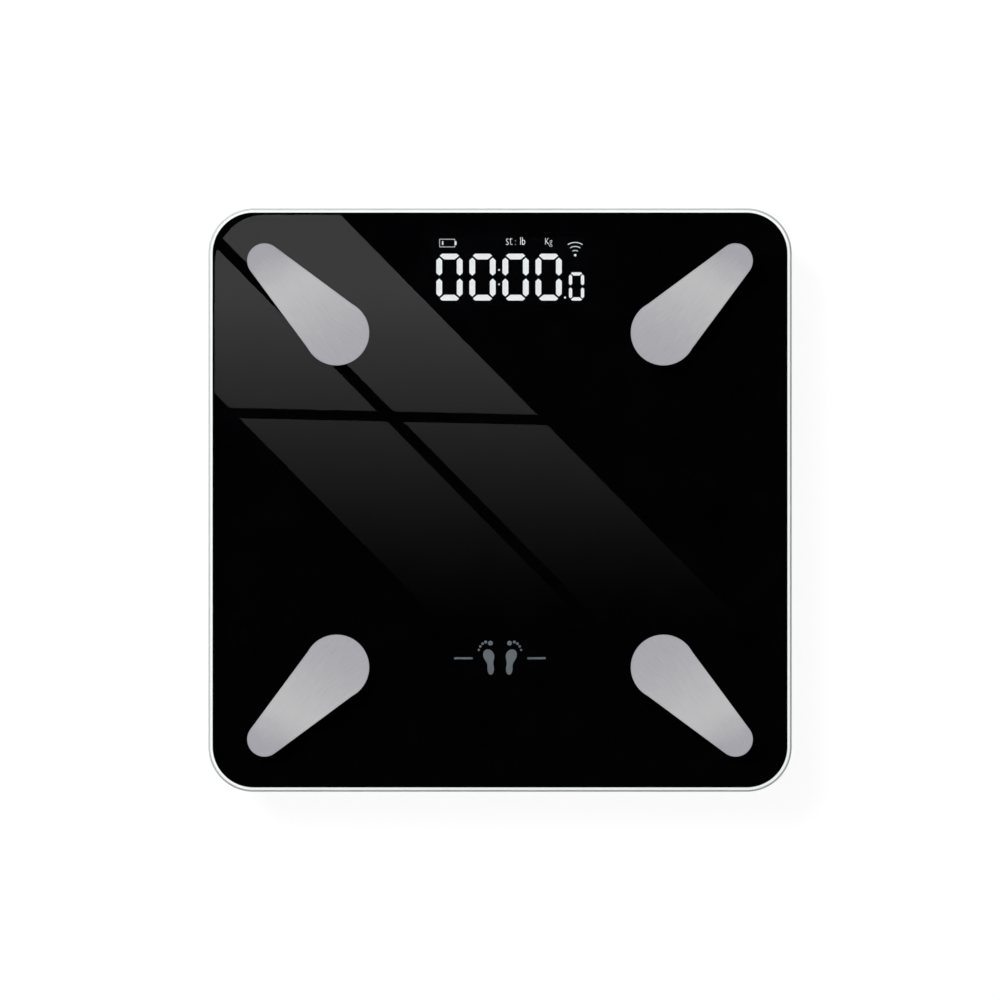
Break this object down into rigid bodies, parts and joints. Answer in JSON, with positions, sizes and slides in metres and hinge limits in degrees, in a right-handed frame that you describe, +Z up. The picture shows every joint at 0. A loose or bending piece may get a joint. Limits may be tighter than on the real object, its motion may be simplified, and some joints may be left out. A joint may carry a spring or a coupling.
{
  "type": "digital bathroom scale",
  "caption": "Square glass body scale on a shallow tray, with a lit display near its toe edge, steel electrodes near the corners and load-cell feet.",
  "frame": {"origin": "on the floor, below the middle of the platform", "axes": "+Z up, +Y towards the display edge where the toes go, +X towards the right foot"},
  "size_m": [0.26, 0.26, 0.0248],
  "materials": {
    "clear_glass": "tempered, polished, with a bevelled edge",
    "foam_tape": "closed-cell foam",
    "white_abs": "fine satin",
    "stainless_steel": "brushed along its length",
    "zinc_plate": "zinc plated",
    "white_pvc": "satin",
    "grey_rubber": "matt",
    "spring_steel": "nickel plated",
    "white_silicone": "soft sheen",
    "grey_nylon": "satin",
    "grey_pvc": "satin",
    "battery_jacket": "printed sleeve",
    "nickel_plate": "nickel plated",
    "black_pvc": "satin",
    "red_pvc": "satin",
    "white_reflector": "matt white, lit from inside",
    "smoked_film": "smoked diffuser",
    "board_green": "solder mask",
    "black_epoxy": "glossy blob",
    "tinned_shield": "tinned can",
    "grey_abs": "satin",
    "black_nylon": "satin"
  },
  "bodies": {
    "platform": {"glass_platform": "clear_glass", "glass_tape": "foam_tape", "base_tray": "white_abs", "electrode_toe_left": "stainless_steel", "electrode_toe_right": "stainless_steel", "electrode_heel_left": "stainless_steel", "electrode_heel_right": "stainless_steel", "electrode_nut_toe_left": "zinc_plate", "electrode_nut_toe_right": "zinc_plate", "electrode_nut_heel_left": "zinc_plate", "electrode_nut_heel_right": "zinc_plate", "electrode_lead_toe_left": "white_pvc", "electrode_lead_toe_right": "white_pvc", "electrode_lead_heel_left": "white_pvc", "electrode_lead_heel_right": "white_pvc", "load_cell_toe_left": "spring_steel", "load_cell_toe_right": "spring_steel", "load_cell_heel_left": "spring_steel", "load_cell_heel_right": "spring_steel", "gauge_seal_toe_left": "white_silicone", "gauge_seal_toe_right": "white_silicone", "gauge_seal_heel_left": "white_silicone", "gauge_seal_heel_right": "white_silicone", "load_cell_bracket_toe_left": "grey_nylon", "load_cell_bracket_toe_right": "grey_nylon", "load_cell_bracket_heel_left": "grey_nylon", "load_cell_bracket_heel_right": "grey_nylon", "load_cell_cable_toe_left": "grey_pvc", "load_cell_cable_toe_right": "grey_pvc", "load_cell_cable_heel_left": "grey_pvc", "load_cell_cable_heel_right": "grey_pvc", "battery_cell_1": "battery_jacket", "battery_cell_2": "battery_jacket", "battery_cell_3": "battery_jacket", "battery_contact_negative": "nickel_plate", "battery_contact_positive": "nickel_plate", "battery_bridge_left": "nickel_plate", "battery_bridge_right": "nickel_plate", "battery_wire_negative": "black_pvc", "battery_wire_positive": "red_pvc", "display_block": "white_reflector", "display_film": "smoked_film", "control_board": "board_green", "control_chip": "black_epoxy", "radio_module": "tinned_shield", "board_screw_toe_left": "zinc_plate", "board_screw_toe_right": "zinc_plate", "board_screw_heel_left": "zinc_plate", "board_screw_heel_right": "zinc_plate", "unit_switch": "black_nylon"},
    "foot_toe_left": {"foot_cup_toe_left": "white_abs", "foot_pad_toe_left": "grey_rubber"},
    "foot_toe_right": {"foot_cup_toe_right": "white_abs", "foot_pad_toe_right": "grey_rubber"},
    "foot_heel_left": {"foot_cup_heel_left": "white_abs", "foot_pad_heel_left": "grey_rubber"},
    "foot_heel_right": {"foot_cup_heel_right": "white_abs", "foot_pad_heel_right": "grey_rubber"},
    "door": {"battery_door": "white_abs"},
    "button": {"unit_button": "grey_abs"}
  },
  "joints": [
    {"name": "foot_toe_left_press", "type": "slide", "parent": "platform", "child": "foot_toe_left", "axis": [0, 0, 1], "range_m": [0, 0.0005], "stiffness_N_per_m": 2000, "springref_m": -0.004},
    {"name": "foot_toe_right_press", "type": "slide", "parent": "platform", "child": "foot_toe_right", "axis": [0, 0, 1], "range_m": [0, 0.0005], "stiffness_N_per_m": 2000, "springref_m": -0.004},
    {"name": "foot_heel_left_press", "type": "slide", "parent": "platform", "child": "foot_heel_left", "axis": [0, 0, 1], "range_m": [0, 0.0005], "stiffness_N_per_m": 2000, "springref_m": -0.004},
    {"name": "foot_heel_right_press", "type": "slide", "parent": "platform", "child": "foot_heel_right", "axis": [0, 0, 1], "range_m": [0, 0.0005], "stiffness_N_per_m": 2000, "springref_m": -0.004},
    {"name": "battery_door_hinge", "type": "hinge", "parent": "platform", "child": "door", "pos_m": [-0.02695, 0, 0.0057], "axis": [0, 1, 0], "range_deg": [0, 95]},
    {"name": "unit_button_press", "type": "slide", "parent": "platform", "child": "button", "axis": [0, 0, 1], "range_m": [0, 0.0006], "stiffness_N_per_m": 100, "springref_m": -0.003}
  ]
}
